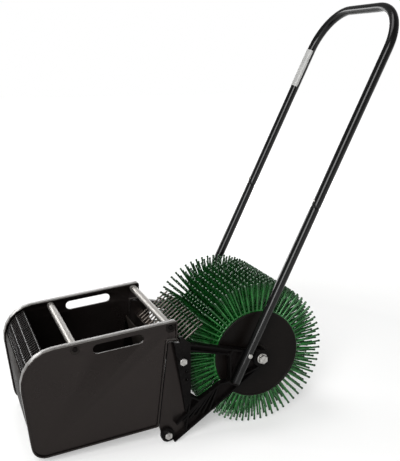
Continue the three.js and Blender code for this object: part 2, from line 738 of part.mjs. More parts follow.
// An L of spring strip: a foot across the bore and a leaf up its rear side.
function snapSpring(side) {
  const low = seamPlace - springTail;
  const high = seamPlace + springTop;
  const outline = [[-leafFace, low], [leafFace, low], [leafFace, high], [leafFace - leafThickness, high],
    [leafFace - leafThickness, low + leafThickness], [-leafFace, low + leafThickness]];
  const points = outline.map(([y, s]) => new THREE.Vector2(y, s));
  return onHandle(plate(points, -leafWidth / 2, leafWidth / 2), side * legX);
}

function upperHandle() {
  const legTop = handleLength - handleBend;
  const bendSteps = 7;
  const place = (x, z, dx, dz) => ({
    point: new THREE.Vector3(x, 0, z), direction: new THREE.Vector3(dx, 0, dz).normalize() });
  const line = [place(-legX, seamPlace, 0, 1)];
  for (const corner of [-1, 1]) {
    for (let k = 0; k <= bendSteps; k += 1) {
      const turn = Math.PI / 2 * (corner < 0 ? k : bendSteps - k) / bendSteps;
      const centre = corner * (legX - handleBend);
      line.push(place(centre + corner * handleBend * Math.cos(turn), legTop + handleBend * Math.sin(turn),
        Math.sin(turn), -corner * Math.cos(turn)));
    }
  }
  line.push(place(legX, seamPlace, 0, -1));
  const section = new THREE.Shape(ring(tubeRadius, 16));
  section.holes = [new THREE.Path(ring(tubeRadius - tubeWall, 16))];
  const tube = new THREE.ExtrudeGeometry(section, {
    steps: line.length - 1, extrudePath: new CentreLine(line), bevelEnabled: false });
  const holes = sides.map(([, side]) => solid(buttonHole().translate(side * legX, 0, 0)));
  return onHandle(surface(cut(solid(tube), holes)));
}

function handlePin(side) {
  const head = tubeRadius + gap;
  const tail = plateInner - legX;
  const profile = [[0, tail], [pinRadius, tail], [pinRadius, head], [pinHeadRadius, head],
    [pinHeadRadius - 1, head + pinHeadHeight], [0, head + pinHeadHeight]];
  return onHandle(aboutX(profile, 12, side).translate(0, 0, pinPlace), side * legX);
}

function endPlug(side) {
  const cap = -socketDepth - gap;
  const insert = tubeRadius - tubeWall - gap;
  const profile = [[0, cap - plugCap], [tubeRadius, cap - plugCap], [tubeRadius, cap], [insert, cap],
    [insert, cap + plugGrip], [0, cap + plugGrip]].map(([radius, s]) => new THREE.Vector2(radius, s));
  return onHandle(new THREE.LatheGeometry(profile, 16).rotateX(Math.PI / 2), side * legX);
}

// A wrapped label over the front of the left leg.
function label() {
  const inner = tubeRadius + gap;
  const steps = 10;
  const arc = (radius, turn) => Array.from({ length: steps + 1 }, (_, k) => {
    const degrees = -90 + labelTurn + turn * labelWrap * (k / steps - 0.5);
    const angle = THREE.MathUtils.degToRad(degrees);
    return new THREE.Vector2(radius * Math.cos(angle), radius * Math.sin(angle));
  });
  const shape = new THREE.Shape([...arc(inner + labelThickness, 1), ...arc(inner, -1)]);
  const sheet = new THREE.ExtrudeGeometry(shape, { depth: labelLength, bevelEnabled: false, steps: 1 });
  return onHandle(sheet.translate(0, 0, labelPlace), -legX);
}

function addHandle() {
  for (const [word, side] of sides) {
    piece(`lower_handle_${word}`, lowerTube(side), blackTube());
    piece(`handle_pin_${word}`, handlePin(side), zinc());
    piece(`handle_plug_${word}`, endPlug(side), blackPlastic());
    piece(`snap_button_${word}`, snapButton(side), zinc());
    piece(`snap_spring_${word}`, snapSpring(side), zinc());
  }
  piece('upper_handle', upperHandle(), blackTube());
  piece('handle_label', label(), whiteLabel());
}

addRoller();
addBasket();
addFrame();
piece('comb', comb(), steelWire());
addHandle();

// The origin goes on the floor, under the middle of the machine.
const frontmost = frontRound().x - frontTopRound;
const rearmost = -handleOffset + handleLength * Math.sin(lean) + tubeRadius;
machine.position.set(0, -(frontmost + rearmost) / 2, -ground);

const object = new THREE.Group();
object.add(machine);
export default object;
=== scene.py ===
import json
import math

import bpy
from mathutils import Matrix, Vector

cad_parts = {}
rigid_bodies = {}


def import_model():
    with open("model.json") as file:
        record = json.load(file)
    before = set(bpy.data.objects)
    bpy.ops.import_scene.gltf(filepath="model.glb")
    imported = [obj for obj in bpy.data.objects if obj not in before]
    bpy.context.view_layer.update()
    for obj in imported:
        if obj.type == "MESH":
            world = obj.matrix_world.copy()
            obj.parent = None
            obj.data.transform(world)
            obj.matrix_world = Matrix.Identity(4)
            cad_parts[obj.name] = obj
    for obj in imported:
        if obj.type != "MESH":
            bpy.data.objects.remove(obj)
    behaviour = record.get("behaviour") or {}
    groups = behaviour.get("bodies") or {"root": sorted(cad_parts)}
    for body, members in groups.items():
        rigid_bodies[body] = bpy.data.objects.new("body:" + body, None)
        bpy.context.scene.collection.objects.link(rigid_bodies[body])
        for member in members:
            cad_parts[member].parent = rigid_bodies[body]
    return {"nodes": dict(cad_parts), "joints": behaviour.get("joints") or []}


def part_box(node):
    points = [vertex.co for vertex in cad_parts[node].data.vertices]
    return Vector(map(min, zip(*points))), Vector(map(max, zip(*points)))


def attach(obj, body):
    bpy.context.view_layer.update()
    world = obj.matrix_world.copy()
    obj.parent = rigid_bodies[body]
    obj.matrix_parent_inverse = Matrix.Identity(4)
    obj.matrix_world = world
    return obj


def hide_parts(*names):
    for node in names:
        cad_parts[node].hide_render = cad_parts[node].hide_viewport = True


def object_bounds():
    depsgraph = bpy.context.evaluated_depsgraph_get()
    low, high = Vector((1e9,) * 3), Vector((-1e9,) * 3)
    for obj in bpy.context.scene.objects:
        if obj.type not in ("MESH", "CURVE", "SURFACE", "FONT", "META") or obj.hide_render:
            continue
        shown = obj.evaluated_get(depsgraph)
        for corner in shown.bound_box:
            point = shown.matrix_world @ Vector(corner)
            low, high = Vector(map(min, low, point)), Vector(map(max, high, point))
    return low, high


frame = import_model()
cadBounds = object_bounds()
nodes = frame["nodes"]
joints = {joint["name"]: joint for joint in frame["joints"]}
sides = (("left", -1), ("right", 1))
print("frame loaded,", len(nodes), "parts")

# Places that several pieces share, read off the frame.
axle = Vector(joints["roller_spin"]["pos_m"])
press = Vector(joints["snap_button_left_press"]["axis"])
lean = math.atan2(-press.z, press.y)                # handle, back from upright
footLow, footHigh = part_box("lower_handle_right")
tubeRadius = (footHigh.x - footLow.x) / 2
legX = (footHigh.x + footLow.x) / 2
legFoot = Vector((0, footLow.y + tubeRadius * math.cos(lean), footLow.z + tubeRadius * math.sin(lean)))
flatShare = math.cos(math.pi / 16)                  # flat over corner radius of the frame's 16-sided tubes


def middle(node):
    low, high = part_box(node)
    return (low + high) / 2


def alongX(y, z, x=0.0):
    return Matrix.Translation((x, y, z)) @ Matrix.Rotation(math.pi / 2, 4, "Y")


def alongHandle(x):
    return Matrix.Translation(legFoot + Vector((x, 0, 0))) @ Matrix.Rotation(-lean, 4, "X")


def upHandle(z):                                    # distance along the leg for a height over the floor
    return (z - legFoot.z) / math.cos(lean)


# Finishes. Each is one recipe over the same layers: clouds, grain, wear on edges and scuffs.
layers = {"noiseRoughness": 0.6, "cloudDetail": 4.0, "grainDetail": 2.0, "cloudColour": (0.3, 0.7),
          "cloudRough": (0.25, 0.75), "cloudWear": (0.35, 0.6), "scuffStretch": (1, 2, 16),
          "scuffRange": (0.60, 0.72), "edgeRange": (0.53, 0.62)}


def node(tree, kind, **values):
    made = tree.nodes.new("ShaderNode" + kind)
    for key, value in values.items():
        if hasattr(made, key):
            setattr(made, key, value)
        else:
            made.inputs[key.replace("_", " ")].default_value = value
    return made


def noise(tree, where, scale, detail, stretch):
    mapping = node(tree, "Mapping")
    mapping.inputs["Scale"].default_value = stretch
    tree.links.new(where, mapping.inputs["Vector"])
    made = node(tree, "TexNoise", Scale=scale, Detail=detail, Roughness=layers["noiseRoughness"])
    tree.links.new(mapping.outputs["Vector"], made.inputs["Vector"])
    return made.outputs["Fac"]


def spread(tree, value, low, high, outLow=0.0, outHigh=1.0):
    made = node(tree, "MapRange", clamp=True)
    tree.links.new(value, made.inputs["Value"])
    for name, number in (("From Min", low), ("From Max", high), ("To Min", outLow), ("To Max", outHigh)):
        made.inputs[name].default_value = number
    return made.outputs["Result"]


def blendColour(tree, amount, first, second):
    made = node(tree, "Mix", data_type="RGBA", blend_type="MIX")
    tree.links.new(amount, made.inputs["Factor"])
    for socket, colour in ((made.inputs[6], first), (made.inputs[7], second)):
        if isinstance(colour, tuple):
            socket.default_value = (*colour, 1)
        else:
            tree.links.new(colour, socket)
    return made.outputs[2]


def times(tree, first, second):
    made = node(tree, "Math", operation="MULTIPLY")
    tree.links.new(first, made.inputs[0])
    if isinstance(second, float):
        made.inputs[1].default_value = second
    else:
        tree.links.new(second, made.inputs[1])
    return made.outputs[0]


def finish(name, recipe):
    material = bpy.data.materials.new(name)
    material.use_nodes = True
    tree = material.node_tree
    shader = tree.nodes["Principled BSDF"]
    where = node(tree, "TexCoord").outputs["Object"]
    stretch = recipe.get("stretch", (1, 1, 1))
    clouds = noise(tree, where, recipe["clouds"], layers["cloudDetail"], stretch)
    grain = noise(tree, where, recipe["grain"], layers["grainDetail"], stretch)
    colour = blendColour(tree, spread(tree, clouds, *layers["cloudColour"]), recipe["deep"], recipe["pale"])
    if "tip" in recipe:                             # darker towards what stands farthest from the axle, the finger tips
        away = node(tree, "VectorMath", operation="SUBTRACT")
        away.inputs[1].default_value = (0, axle.y, axle.z)
        tree.links.new(where, away.inputs[0])
        flat = node(tree, "VectorMath", operation="MULTIPLY")
        flat.inputs[1].default_value = (0, 1, 1)
        tree.links.new(away.outputs[0], flat.inputs[0])
        length = node(tree, "VectorMath", operation="LENGTH")
        tree.links.new(flat.outputs[0], length.inputs[0])
        darkerTowardsTips = spread(tree, length.outputs["Value"], recipe["tipFrom"], recipe["tipTo"],
                      0.0, recipe["tipAmount"])
        colour = blendColour(tree, darkerTowardsTips, colour, recipe["tip"])
    streaks = noise(tree, where, recipe["scuffs"], layers["cloudDetail"], layers["scuffStretch"])
    scuffs = spread(tree, streaks, *layers["scuffRange"])
    colour = blendColour(tree, times(tree, scuffs, recipe["scuffAmount"]), colour, recipe["scuff"])
    edges = spread(tree, node(tree, "NewGeometry").outputs["Pointiness"], *layers["edgeRange"])
    worn = times(tree, times(tree, edges, spread(tree, clouds, *layers["cloudWear"])), recipe["wear"])
    colour = blendColour(tree, worn, colour, recipe["scuff"])
    tree.links.new(colour, shader.inputs["Base Color"])
    low, high = recipe["rough"]
    tree.links.new(spread(tree, clouds, *layers["cloudRough"], low, high), shader.inputs["Roughness"])
    bump = node(tree, "Bump", Strength=recipe["bump"], Distance=recipe["bumpDepth"])
    tree.links.new(grain, bump.inputs["Height"])
    tree.links.new(bump.outputs["Normal"], shader.inputs["Normal"])
    shader.inputs["Metallic"].default_value = recipe.get("metal", 0.0)
    shader.inputs["Specular IOR Level"].default_value = recipe.get("specular", 0.5)
    shader.inputs["Specular Tint"].default_value = (*recipe.get("tint", (1, 1, 1)), 1)
    return material


finishes = {
    "panel": finish("satin_black_brown_plastic", {
        "deep": (0.0014, 0.0010, 0.0009), "pale": (0.0026, 0.0020, 0.0018), "clouds": 7, "grain": 1500,
        "scuffs": 38, "scuff": (0.05, 0.046, 0.043), "scuffAmount": 0.10, "wear": 0.5,
        "rough": (0.24, 0.34), "bump": 0.10, "bumpDepth": 0.0003, "specular": 0.27,
        "tint": (1.0, 0.87, 0.83)}),
    "web": finish("flat_black_brown_plastic", {
        "deep": (0.0018, 0.0013, 0.0012), "pale": (0.0032, 0.0026, 0.0024), "clouds": 9, "grain": 1500,
        "scuffs": 38, "scuff": (0.05, 0.046, 0.043), "scuffAmount": 0.10, "wear": 0.02,
        "rough": (0.26, 0.36), "bump": 0.10, "bumpDepth": 0.0003, "specular": 0.22,
        "tint": (1.0, 0.87, 0.83)}),
    # the rim finish is a pale colour that paints the highlight of studio light on the glossy black rim, with
    # scuffs over it
    "rim": finish("scuffed_rim_painted_highlight", {
        "deep": (0.030, 0.028, 0.026), "pale": (0.085, 0.079, 0.073), "clouds": 40, "grain": 1300,
        "scuffs": 80, "scuff": (0.11, 0.104, 0.098), "scuffAmount": 0.4, "wear": 0.1,
        "rough": (0.30, 0.42), "bump": 0.10, "bumpDepth": 0.0003, "specular": 0.85,
        "tint": (1.0, 0.97, 0.93)}),
    "shell": finish("matt_black_brown_plastic", {
        "deep": (0.0030, 0.0025, 0.0021), "pale": (0.0085, 0.0070, 0.0060), "clouds": 20, "grain": 900,
        "scuffs": 30, "scuff": (0.06, 0.052, 0.045), "scuffAmount": 0.25, "wear": 0.5,
        "rough": (0.50, 0.66), "bump": 0.12, "bumpDepth": 0.0003, "specular": 0.10,
        "tint": (1.0, 0.90, 0.82), "stretch": (0.12, 1, 1)}),
    "grille": finish("ribbed_black_plastic", {
        "deep": (0.0010, 0.0008, 0.0007), "pale": (0.0028, 0.0023, 0.0020), "clouds": 30, "grain": 900,
        "scuffs": 30, "scuff": (0.03, 0.027, 0.024), "scuffAmount": 0.2, "wear": 0.05,
        "rough": (0.75, 0.90), "bump": 0.12, "bumpDepth": 0.0003, "specular": 0.02}),
    "column": finish("grained_black_plastic", {
        "deep": (0.0006, 0.0005, 0.0005), "pale": (0.0016, 0.0013, 0.0013), "clouds": 24, "grain": 700,
        "scuffs": 50, "scuff": (0.03, 0.026, 0.024), "scuffAmount": 0.30, "wear": 0.04,
        "rough": (0.34, 0.44), "bump": 0.16, "bumpDepth": 0.0004, "specular": 0.05}),
    # the edge finish is a pale colour on eased faces that paints a highlight along edges, with scuffs over it
    "edge": finish("black_edge_painted_highlight", {
        "deep": (0.010, 0.009, 0.0088), "pale": (0.055, 0.050, 0.048), "clouds": 90, "grain": 1300,
        "scuffs": 90, "scuff": (0.10, 0.094, 0.090), "scuffAmount": 0.3, "wear": 0.1,
        "rough": (0.25, 0.40), "bump": 0.12, "bumpDepth": 0.0003, "specular": 0.5}),
    "bracket": finish("black_moulded_plastic", {
        "deep": (0.0008, 0.0006, 0.0006), "pale": (0.0020, 0.0016, 0.0017), "clouds": 14, "grain": 1300,
        "scuffs": 50, "scuff": (0.04, 0.036, 0.034), "scuffAmount": 0.25, "wear": 0.04,
        "rough": (0.26, 0.40), "bump": 0.12, "bumpDepth": 0.0003, "specular": 0.06,
        "tint": (1.0, 0.88, 0.85)}),
    "endDisc": finish("black_disc_plastic", {
        "deep": (0.0018, 0.0013, 0.0011), "pale": (0.0040, 0.0030, 0.0026), "clouds": 7, "grain": 1200,
        "scuffs": 30, "scuff": (0.03, 0.026, 0.023), "scuffAmount": 0.12, "wear": 0.4,
        "rough": (0.30, 0.42), "bump": 0.10, "bumpDepth": 0.0003, "specular": 0.07}),
    "finger": finish("green_flexible_plastic", {
        "deep": (0.0006, 0.009, 0.0010), "pale": (0.0052, 0.092, 0.012), "clouds": 60, "grain": 900,
        "scuffs": 60, "scuff": (0.10, 0.17, 0.10), "scuffAmount": 0.10, "wear": 0.06,
        "rough": (0.09, 0.15), "bump": 0.05, "bumpDepth": 0.0002, "specular": 0.75,
        "tint": (0.55, 1.0, 0.58), "tip": (0.006, 0.012, 0.007), "tipFrom": 0.157, "tipTo": 0.171,
        "tipAmount": 0.92}),
    "tube": finish("gloss_black_powder_coat", {
        "deep": (0.001, 0.001, 0.001), "pale": (0.0022, 0.0022, 0.0022), "clouds": 12, "grain": 700,
        "scuffs": 45, "scuff": (0.10, 0.10, 0.10), "scuffAmount": 0.05, "wear": 0.015,
        "rough": (0.16, 0.24), "bump": 0.06, "bumpDepth": 0.0003, "specular": 0.23}),
    "zinc": finish("bright_zinc_plate", {
        "deep": (0.24, 0.235, 0.225), "pale": (0.52, 0.51, 0.49), "clouds": 130, "grain": 1800,
        "scuffs": 160, "scuff": (0.22, 0.20, 0.17), "scuffAmount": 0.35, "wear": 0.1,
        "rough": (0.20, 0.38), "bump": 0.12, "bumpDepth": 0.0002, "metal": 1.0}),
    "bar": finish("satin_drawn_aluminium", {
        "deep": (0.22, 0.21, 0.195), "pale": (0.32, 0.305, 0.285), "clouds": 16, "grain": 1300,
        "scuffs": 60, "scuff": (0.13, 0.12, 0.11), "scuffAmount": 0.25, "wear": 0.1,
        "rough": (0.40, 0.52), "bump": 0.12, "bumpDepth": 0.0002, "metal": 0.85, "stretch": (0.08, 1, 1)}),
    "wire": finish("drawn_spring_wire", {
        "deep": (0.016, 0.014, 0.012), "pale": (0.085, 0.076, 0.068), "clouds": 55, "grain": 1500,
        "scuffs": 120, "scuff": (0.12, 0.07, 0.04), "scuffAmount": 0.35, "wear": 0.2,
        "rough": (0.30, 0.45), "bump": 0.12, "bumpDepth": 0.0002, "metal": 0.8}),
    "label": finish("white_label_film", {
        "deep": (0.21, 0.21, 0.205), "pale": (0.27, 0.27, 0.265), "clouds": 30, "grain": 900,
        "scuffs": 90, "scuff": (0.45, 0.44, 0.42), "scuffAmount": 0.15, "wear": 0.15,
        "rough": (0.35, 0.5), "bump": 0.05, "bumpDepth": 0.0002}),
}
print("finishes made,", len(finishes))


# Modelling helpers.
weld = 1e-6                                         # points nearer than this are one
frameWeld = 1e-5                                    # the same for the frame's own shapes
flatAngle = 1                                       # degrees between faces that count as one
facingUp = 0.99


def clearSelection():
    if bpy.context.object and bpy.context.object.mode != "OBJECT":
        bpy.ops.object.mode_set(mode="OBJECT")
    bpy.ops.object.select_all(action="DESELECT")


def openEdit(kind="VERT", pick="SELECT"):
    bpy.ops.object.mode_set(mode="EDIT")
    bpy.ops.mesh.select_mode(type=kind)
    bpy.ops.mesh.select_all(action=pick)


def choose(*pieces):
    clearSelection()
    for piece in pieces:
        piece.select_set(True)
    bpy.context.view_layer.objects.active = pieces[0]


def place(piece, matrix):                           # moves the shape itself, the object stays at the origin
    piece.data.transform(matrix)
    piece.data.update()


def closeShape(piece, capped=False):
    choose(piece)
    openEdit()
    bpy.ops.mesh.remove_doubles(threshold=weld)
    if capped:
        bpy.ops.mesh.fill_holes(sides=0)
        bpy.ops.mesh.select_all(action="SELECT")
    bpy.ops.mesh.normals_make_consistent(inside=False)
    bpy.ops.object.mode_set(mode="OBJECT")


def pushRing(here, there):                          # the selected ring grows to the next (radius, height)
    (radius0, height0), (radius1, height1) = here, there
    bpy.ops.mesh.extrude_region()
    ratio = radius1 / radius0
    if abs(ratio - 1) > 1e-6:
        bpy.ops.transform.resize(value=(ratio, ratio, 1), center_override=(0, 0, height0))
    if abs(height1 - height0) > 1e-9:
        bpy.ops.transform.translate(value=(0, 0, height1 - height0))


def turned(name, profile, steps, capped=False):
    clearSelection()
    bpy.ops.mesh.primitive_circle_add(vertices=steps, radius=profile[0][0], location=(0, 0, profile[0][1]))
    piece = bpy.context.object
    piece.name = name
    bpy.ops.object.transform_apply(location=True, rotation=True, scale=True)
    openEdit()
    for here, there in zip(profile, profile[1:]):
        pushRing(here, there)
    bpy.ops.object.mode_set(mode="OBJECT")
    closeShape(piece, capped)
    return piece


def finishPiece(piece, body, look, *standsFor, angle=34, easedLook=None):
    choose(piece)
    bpy.ops.object.shade_smooth_by_angle(angle=math.radians(angle))
    eased = {face.index for face in piece.data.polygons if face.material_index}
    piece.data.materials.clear()
    piece.data.materials.append(finishes[look])
    if easedLook:
        piece.data.materials.append(finishes[easedLook])
    for face in piece.data.polygons:
        face.material_index = 1 if easedLook and face.index in eased else 0
    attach(piece, body)
    if standsFor:
        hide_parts(*standsFor)
    return piece


def copyOf(piece, name):
    copied = piece.copy()
    copied.data = piece.data.copy()
    copied.name = name
    for key in list(copied.keys()):
        del copied[key]
    copied.parent = None
    bpy.context.scene.collection.objects.link(copied)
    return copied


def softened(nodeName, name, width, steps=2, angle=28, clamp=False):
    piece = copyOf(nodes[nodeName], name)           # the frame's shape with its edges eased
    choose(piece)
    openEdit()
    bpy.ops.mesh.remove_doubles(threshold=frameWeld)
    bpy.ops.mesh.dissolve_limited(angle_limit=math.radians(flatAngle))
    bpy.ops.mesh.normals_make_consistent(inside=False)
    bpy.ops.object.mode_set(mode="OBJECT")
    bevel = piece.modifiers.new("ease", "BEVEL")
    bevel.width = width
    bevel.segments = steps
    bevel.limit_method = "ANGLE"
    bevel.angle_limit = math.radians(angle)
    bevel.use_clamp_overlap = clamp
    bevel.material = 1                              # so that the eased faces can be told apart later
    piece.data.materials.append(finishes["edge"])
    bpy.ops.object.modifier_apply(modifier=bevel.name)
    return piece


def paintNode(nodeName, look):
    shape = nodes[nodeName]
    shape.data.materials.clear()
    shape.data.materials.append(finishes[look])


# Roller.
roller = {"fingers": 66, "sides": 6, "root": 0.1093, "rootRadius": 0.0029, "fingerRadius": 0.0024,
          "knobRadius": 0.0030, "sunk": 0.0015, "waist": 0.93, "waistRise": 0.006, "shaftRise": 0.025,
          "knob": (0.0050, 0.0034, 0.0014), "knobTop": 0.55,
          "bore": 0.0173, "boss": 0.024, "webHalf": 0.0010, "rimHalf": 0.0015, "rimInner": 0.1035,
          "rim": 0.1100, "rimRamp": 0.0012, "rimEase": 0.0006, "turnStep": 0.37, "turnRate": 2.4}
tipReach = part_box("finger_disc_02")[1].z - axle.z


def addFinger(centreX):                             # in edit mode, standing up from the rim
    root, half = roller["root"], roller["rootRadius"]
    shaft, knob = roller["fingerRadius"], roller["knobRadius"]
    neckDrop, knobLow, knobHigh = roller["knob"]
    rings = [(half, root - roller["sunk"]), (half * roller["waist"], root + roller["waistRise"]),
             (shaft, root + roller["shaftRise"]), (shaft, tipReach - neckDrop), (knob, tipReach - knobLow),
             (knob, tipReach - knobHigh), (knob * roller["knobTop"], tipReach)]
    bpy.ops.mesh.primitive_circle_add(vertices=roller["sides"], radius=rings[0][0], fill_type="NGON",
                                      location=(centreX, 0, rings[0][1]))
    for (radius0, height0), (radius1, height1) in zip(rings, rings[1:]):
        bpy.ops.mesh.extrude_region()
        bpy.ops.transform.resize(value=(radius1 / radius0, radius1 / radius0, 1),
                                 center_override=(centreX, 0, height0))
        bpy.ops.transform.translate(value=(0, 0, height1 - height0))
    bpy.ops.mesh.select_linked()


def fingeredDisc(name, bossLength):
    web, rimHalf, rim, inner = roller["webHalf"], roller["rimHalf"], roller["rim"], roller["rimInner"]
    ramp, ease = roller["rimRamp"], roller["rimEase"]
    boss = [(roller["bore"], -bossLength), (roller["boss"], -bossLength), (roller["boss"], -web)]
    profile = (boss if bossLength > web else [(roller["bore"], -web)]) + [
        (inner, -web), (inner + ramp, -rimHalf), (rim - ease, -rimHalf), (rim, -web),
        (rim, web), (rim - ease, rimHalf), (inner + ramp, rimHalf), (inner, web), (roller["bore"], web)]
    disc = turned(name, profile + profile[:1], roller["fingers"])
    place(disc, Matrix.Rotation(math.pi / 2, 4, "Y"))
    choose(disc)
    openEdit("VERT", "DESELECT")
    addFinger(0.0)
    bpy.ops.mesh.spin(steps=roller["fingers"], dupli=True, angle=2 * math.pi,
                      center=(0, 0, 0), axis=(1, 0, 0))
    bpy.ops.mesh.select_all(action="SELECT")
    bpy.ops.mesh.remove_doubles(threshold=weld)
    bpy.ops.mesh.normals_make_consistent(inside=False)
    bpy.ops.object.mode_set(mode="OBJECT")
    return disc


discCount = sum(name.startswith("finger_disc_") for name in nodes)
discPitch = middle("finger_disc_03").x - middle("finger_disc_02").x
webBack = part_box("finger_disc_01")[1].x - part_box("finger_disc_01")[0].x
firstDisc = fingeredDisc("fingered_disc_01", 0.0)
plainDisc = fingeredDisc("fingered_disc_02", discPitch - webBack)
discs = [firstDisc, plainDisc] + [copyOf(plainDisc, f"fingered_disc_{i:02}") for i in range(3, discCount + 1)]
for i, disc in enumerate(discs):
    stoodFor = f"finger_disc_{i + 1:02}"
    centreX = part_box(stoodFor)[1].x - webBack / 2
    wander = math.radians(roller["turnStep"] * math.sin(roller["turnRate"] * i))
    place(disc, Matrix.Translation((centreX, axle.y, axle.z)) @ Matrix.Rotation(wander, 4, "X"))
    finishPiece(disc, "roller", "finger", stoodFor, angle=62)
print("fingered discs made,", len(discs))

endPlan = {"ease": 0.0009, "lip": 0.0040, "recess": 0.0007, "collar": 0.026, "steps": 96}
for word, side in sides:
    low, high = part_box(f"end_disc_{word}")
    thickness, radius = high.x - low.x, (high.z - low.z) / 2
    ease, lip, recess = endPlan["ease"], endPlan["lip"], endPlan["recess"]
    half = thickness / 2
    face = [(roller["bore"], -half), (radius - ease, -half), (radius, -half + ease), (radius, half - ease),
            (radius - ease, half), (radius - lip, half), (radius - lip - recess, half - recess),
            (endPlan["collar"] + recess, half - recess), (endPlan["collar"], half), (roller["bore"], half)]
    endDisc = turned(f"end_cap_{word}", face + face[:1], endPlan["steps"])
    turn = Matrix.Rotation(math.pi / 2 * side, 4, "Y")
    place(endDisc, Matrix.Translation(((low.x + high.x) / 2, axle.y, axle.z)) @ turn)
    finishPiece(endDisc, "roller", "endDisc", f"end_disc_{word}")
    paintNode(f"bushing_{word}", "bracket")
paintNode("hub_tube", "zinc")
print("roller closed")

# Basket.
basket = {"ease": 0.0009, "shellEase": 0.0006, "grilleEase": 0.0005, "rimFacing": 0.8,
          "rimDown": -0.1, "rimBack": 0.5,
          "boss": 0.0090, "bossHole": 0.0062, "bossRise": 0.0024, "bossEase": 0.0010, "bossStretch": 1.25,
          "bossSquare": 0.45, "bossSteps": 32, "wallFace": 0.1562, "screwEase": 0.0006}


def barBoss(name, side, centre):                    # a low pad round each bar screw, open in the middle
    outer, inner, rise, wall = (basket[key] for key in ("boss", "bossHole", "bossRise", "wallFace"))
    profile = [(outer, 0), (outer, rise * 0.6), (outer - basket["bossEase"], rise), (inner, rise), (inner, 0)]
    pad = turned(name, profile + profile[:1], basket["bossSteps"])
    square = basket["bossSquare"]
    for vertex in pad.data.vertices:                # squarer than round
        away = math.hypot(vertex.co.x, vertex.co.y)
        if away > (outer + inner) / 2:
            corner = abs(vertex.co.x * vertex.co.y) / away ** 2
            vertex.co.x *= (1 + square * corner) * basket["bossStretch"]
            vertex.co.y *= 1 + square * corner
    turn = Matrix.Rotation(side * math.pi / 2, 4, "Y")
    place(pad, Matrix.Translation((side * wall, centre.y, centre.z)) @ turn)
    return pad


for word, side in sides:
    panel = softened(f"side_panel_{word}", f"basket_side_{word}", basket["ease"])
    finishPiece(panel, "basket", "panel", f"side_panel_{word}")
    panel.data.materials.append(finishes["rim"])
    centre = middle(f"side_panel_{word}")
    for face in panel.data.polygons:                # edges that face out, on top and in front, take the pale rim finish: a painted highlight where the rim catches the light
        edgeOn = abs(face.normal.x) < basket["rimFacing"]
        seen = face.normal.z > basket["rimDown"] and face.normal.y < basket["rimBack"]
        if edgeOn and seen and (face.center - centre).dot(face.normal) > 0:
            face.material_index = 1
    for spot in ("front", "rear"):
        boss = barBoss(f"{spot}_boss_{word}", side, middle(f"{spot}_bar_screw_{word}"))
        finishPiece(boss, "basket", "endDisc")
    for spot in ("front", "rear"):
        screw = softened(f"{spot}_bar_screw_{word}", f"{spot}_screw_{word}", basket["screwEase"])
        finishPiece(screw, "basket", "bracket", f"{spot}_bar_screw_{word}")
shell = softened("basket_shell", "basket_tray", basket["shellEase"])
finishPiece(shell, "basket", "shell", "basket_shell")
grille = softened("front_grille", "slotted_grille", basket["grilleEase"], 1)
# the grille's eased faces take the edge finish, a painted highlight along ribs and slats
finishPiece(grille, "basket", "grille", "front_grille", easedLook="edge")

barPlan = {"wall": 0.0018, "ease": 0.0010, "groove": 0.0006, "grooveAt": 0.006, "steps": 40}
for spot in ("front", "rear"):
    low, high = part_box(f"{spot}_cross_bar")
    outer, half = (high.z - low.z) / 2 / flatShare, (high.x - low.x) / 2
    wall, ease, groove, at = barPlan["wall"], barPlan["ease"], barPlan["groove"], barPlan["grooveAt"]
    outside = [(outer - ease, -half), (outer, -half + ease), (outer, -half + at),
               (outer - groove, -half + at + groove), (outer - groove, -half + at + 3 * groove),
               (outer, -half + at + 4 * groove)]
    mirrored = [(radius, -height) for radius, height in reversed(outside)]
    profile = outside + mirrored + [(outer - wall, half), (outer - wall, -half)]
    bar = turned(f"{spot}_bar", profile + profile[:1], barPlan["steps"])
    centre = middle(f"{spot}_cross_bar")
    place(bar, alongX(centre.y, centre.z))
    finishPiece(bar, "basket", "bar", f"{spot}_cross_bar")
print("basket made")

# Brackets and their bolts.
bracketPlan = {"ease": 0.0006, "easeAngle": 40, "proud": 0.0045, "edgeFacing": (0.2, 0.98), "webArea": 0.003,
               "washerEase": 0.0003, "spacerEase": 0.0005}
for word, side in sides:
    bracket = softened(f"bracket_{word}", f"moulded_bracket_{word}", bracketPlan["ease"], 2,
                       bracketPlan["easeAngle"], True)
    finishPiece(bracket, "frame", "bracket", f"bracket_{word}")
    for look in ("column", "edge", "web"):
        bracket.data.materials.append(finishes[look])
    outside = max(abs(vertex.co.x) for vertex in bracket.data.vertices)
    slanted, square = bracketPlan["edgeFacing"]
    for face in bracket.data.polygons:
        if abs(face.center.x) > outside - bracketPlan["proud"]:
            eased = slanted < abs(face.normal.x) < square
            face.material_index = 2 if eased else 1     # grained where it stands proud, with a painted highlight on its eased edges
        elif face.area > bracketPlan["webArea"]:    # the broad flat web matches the basket side
            face.material_index = 3
    washer = softened(f"axle_washer_{word}", f"flat_washer_{word}", bracketPlan["washerEase"])
    finishPiece(washer, "frame", "zinc", f"axle_washer_{word}")
for spot in ("upper", "lower"):
    spacer = softened(f"{spot}_spacer", f"{spot}_spacer_tube", bracketPlan["spacerEase"])
    finishPiece(spacer, "frame", "zinc", f"{spot}_spacer", angle=40)

boltPlan = {"axle": 0.00635, "upper_tie": 0.005, "lower_tie": 0.005, "headShare": 1.3, "thread": 0.00125,
            "threadDepth": 0.0005, "threadLength": 0.016, "chamfer": 0.0011, "dish": 0.0005,
            "dishRing": 1.6, "sunk": 0.0005, "steps": 24, "nutEase": 0.0005}


